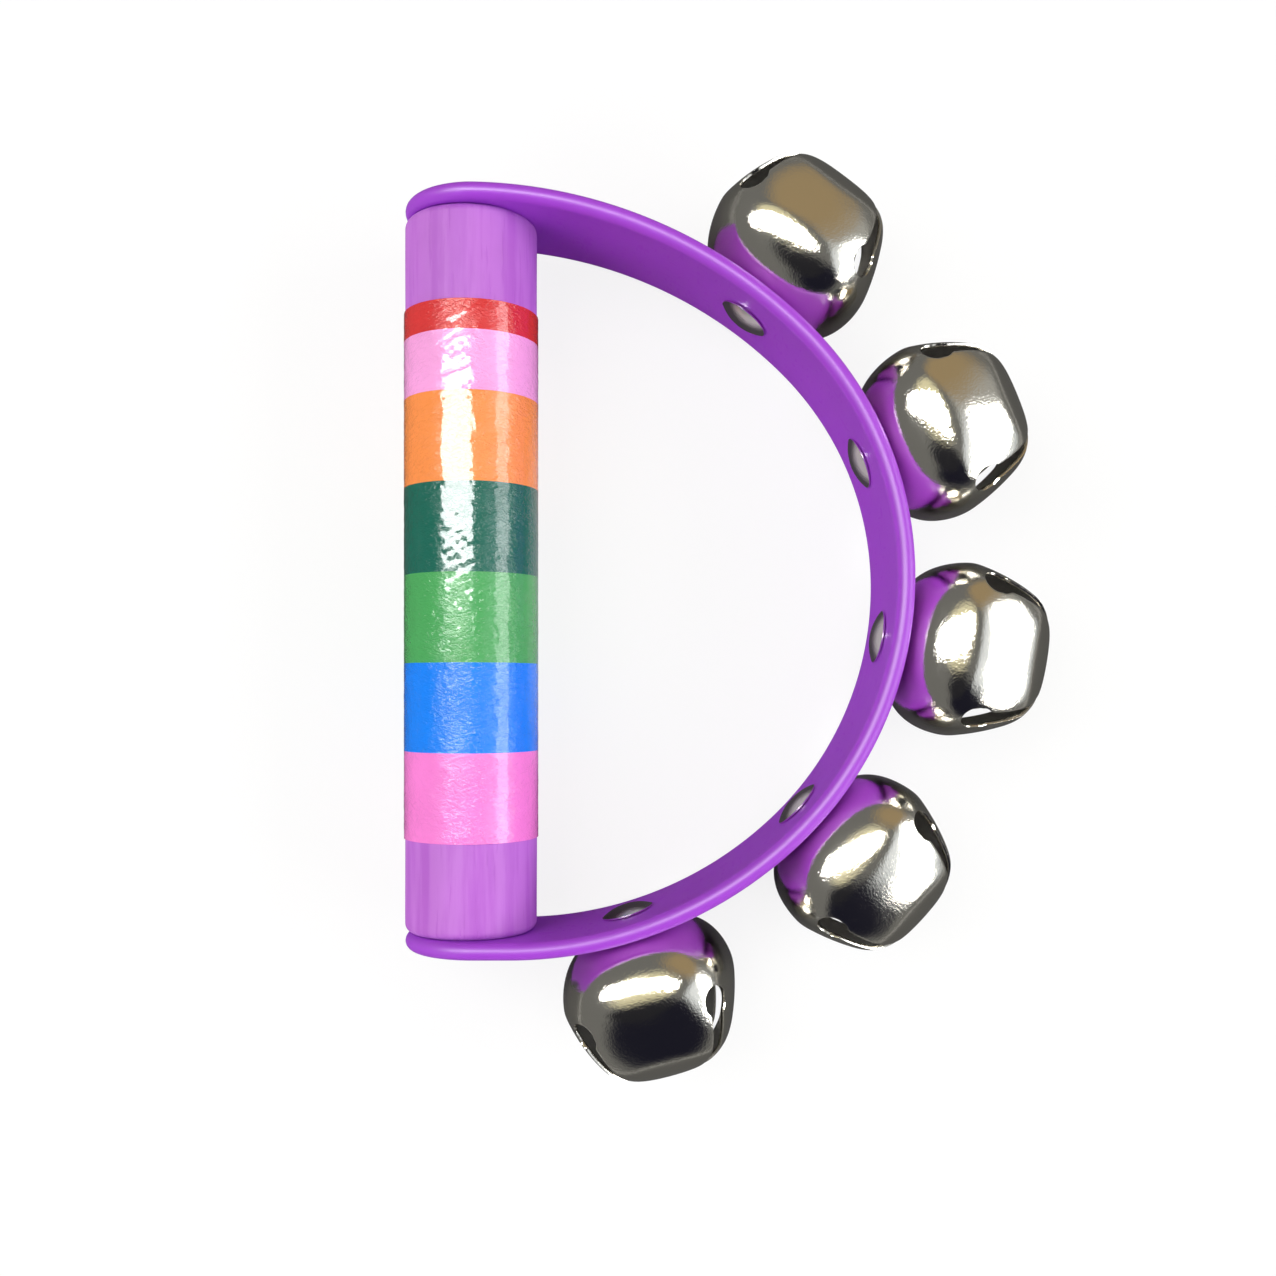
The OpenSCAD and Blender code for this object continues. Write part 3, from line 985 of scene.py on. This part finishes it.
FLOOR_CORNERS = 96
FLOOR_DROP = 0.05 * MM
LENS = 34.7  # in millimetres, on a sensor 36 mm wide
LENS_SHIFT = (0.0016, 0.0388)


def build_sky(world):
    """Soft room light: a grey dome with warm, dark and bright patches, each a smooth spot about a direction.
    What the camera sees behind the floor is plain white."""
    world.use_nodes = True
    nodes = Nodes(world.node_tree)
    world.node_tree.nodes.clear()
    looking = nodes.add("ShaderNodeTexCoord").outputs["Generated"]
    colour = (*SKY_GREY, 1.0)
    for lean_x, lean_y, inner, outer, patch in SKY_PATCHES:
        centre = np.array([math.tan(math.radians(lean_x)), math.tan(math.radians(lean_y)), 1])
        centre = tuple(centre / np.linalg.norm(centre))
        facing = nodes.add("ShaderNodeVectorMath", {"operation": "DOT_PRODUCT"}, i0=looking, i1=centre)
        spot = nodes.ramp(facing.outputs[1], math.cos(math.radians(outer)), math.cos(math.radians(inner)))
        colour = blended(nodes, spot, colour, (*patch, 1.0))
    room = nodes.add("ShaderNodeBackground", None, Color=colour, Strength=1.0).outputs[0]
    plain = nodes.add("ShaderNodeBackground", None, Color=(1, 1, 1, 1), Strength=1.0).outputs[0]
    path = nodes.add("ShaderNodeLightPath").outputs["Is Camera Ray"]
    nodes.add("ShaderNodeOutputWorld", None, Surface=nodes.mixed(path, room, plain))


def floor_material():
    """Plain pale floor, almost white to the camera. In reflections it is grey, pale under the bow's
    middle and again far away."""
    def build(nodes, shader):
        set_shader(nodes, shader, Base_Color=(0.95, 0.95, 0.95, 1.0), Roughness=0.9,
                   Specular_IOR_Level=0.1)
        own = nodes.add("ShaderNodeTexCoord").outputs["Object"]
        place = nodes.add("ShaderNodeMapping", None, Vector=own, Location=(-0.02, 0.0, 0.0)).outputs[0]
        away = nodes.add("ShaderNodeVectorMath", {"operation": "LENGTH"}, i0=place).outputs[1]
        close, distant = nodes.ramp(away, 0.040, 0.024), nodes.ramp(away, 0.10, 0.5, 0.0, 0.4)
        tone = nodes.math("MULTIPLY_ADD", nodes.math("MAXIMUM", close, distant), 0.6, 0.09)
        dim = nodes.add("ShaderNodeBsdfDiffuse", None, Color=grey(nodes, tone)).outputs[0]
        rays = nodes.add("ShaderNodeLightPath").outputs
        lit = nodes.mixed(rays["Is Glossy Ray"], shader.outputs[0], dim)
        white = nodes.add("ShaderNodeEmission", None, Color=(1.0, 1.0, 1.0, 1.0)).outputs[0]
        seen = nodes.math("MULTIPLY", rays["Is Camera Ray"], 0.85)
        nodes.plug(nodes.tree.nodes["Material Output"], "Surface", nodes.mixed(seen, lit, white))
    return material("Pale floor", build)


def area_light(name, place, target, width, length, power, hidden_from):
    """A rectangular light at a place, facing a target, its length along Y."""
    data = bpy.data.lights.new(name, "AREA")
    data.shape, data.size, data.size_y, data.energy = "RECTANGLE", width, length, power
    lamp = linked(name, data)
    out = np.array(place, float) - np.array(target, float)
    out /= np.linalg.norm(out)
    side = np.cross((0.0, 1.0, 0.0), out)
    side /= np.linalg.norm(side)
    along = np.cross(out, side)
    turn = np.eye(4)
    turn[:3, 0], turn[:3, 1], turn[:3, 2], turn[:3, 3] = side, along, out, place
    lamp.matrix_world = Matrix(turn.tolist())
    if hidden_from:
        setattr(lamp, f"visible_{hidden_from}", False)


class BELLS_OT_stage(bpy.types.Operator):
    """Set up the pale floor, the soft light and the camera"""
    bl_idname = "bells.stage"
    bl_label = "Stage"

    def execute(self, context):
        size = context.scene.stage_sizes
        low, _ = CAD_BOX
        turn = np.linspace(0, 2 * math.pi, FLOOR_CORNERS, endpoint=False)
        ring = np.stack([size.floor_radius * np.cos(turn), size.floor_radius * np.sin(turn),
                         np.full_like(turn, low[2] - FLOOR_DROP)], axis=-1)
        mesh = bpy.data.meshes.new("floor")
        mesh.from_pydata(ring.tolist(), [], [list(range(len(ring)))])
        mesh.materials.append(floor_material())
        floor = linked("floor", mesh)
        world = bpy.data.worlds.new("Room")
        context.scene.world = world
        build_sky(world)
        for lamp in LAMPS:
            area_light(*lamp)
        data = bpy.data.cameras.new("camera")
        data.sensor_width = 36
        data.lens = LENS
        data.shift_x, data.shift_y = LENS_SHIFT
        data.clip_start = 0.01
        camera = linked("camera", data)
        camera.location = (size.eye_x, size.eye_y, size.eye_z)
        context.scene.camera = camera
        context.scene.view_settings.view_transform = "Standard"
        return {"FINISHED"}


# -------- add-on

OPERATORS = (BELLS_OT_handle, BELLS_OT_bands, BELLS_OT_strap, BELLS_OT_shells, BELLS_OT_rivets,
             BELLS_OT_plain_parts, BELLS_OT_stage)
SETTINGS = {"bell_sizes": BellSizes, "strap_sizes": StrapSizes, "handle_sizes": HandleSizes,
            "rivet_sizes": RivetSizes, "bell_finishes": Finishes, "stage_sizes": StageSizes}


class BELLS_PT_panel(bpy.types.Panel):
    """Sidebar panel that lists the pieces"""
    bl_idname = "BELLS_PT_panel"
    bl_label = "Jingle Bells"
    bl_space_type = "VIEW_3D"
    bl_region_type = "UI"
    bl_category = "Jingle Bells"

    def draw(self, context):
        for operator in OPERATORS:
            self.layout.operator(operator.bl_idname)


def register():
    for group in SETTINGS.values():
        bpy.utils.register_class(group)
    for name, group in SETTINGS.items():
        setattr(bpy.types.Scene, name, PointerProperty(type=group))
    for operator in OPERATORS:
        bpy.utils.register_class(operator)
    bpy.utils.register_class(BELLS_PT_panel)


def unregister():
    bpy.utils.unregister_class(BELLS_PT_panel)
    for operator in reversed(OPERATORS):
        bpy.utils.unregister_class(operator)
    for name, group in SETTINGS.items():
        delattr(bpy.types.Scene, name)
        bpy.utils.unregister_class(group)


def main():
    """Build every piece and the stage."""
    register()
    for operator in OPERATORS:
        group, name = operator.bl_idname.split(".")
        getattr(getattr(bpy.ops, group), name)()


if __name__ == "__main__":
    main()
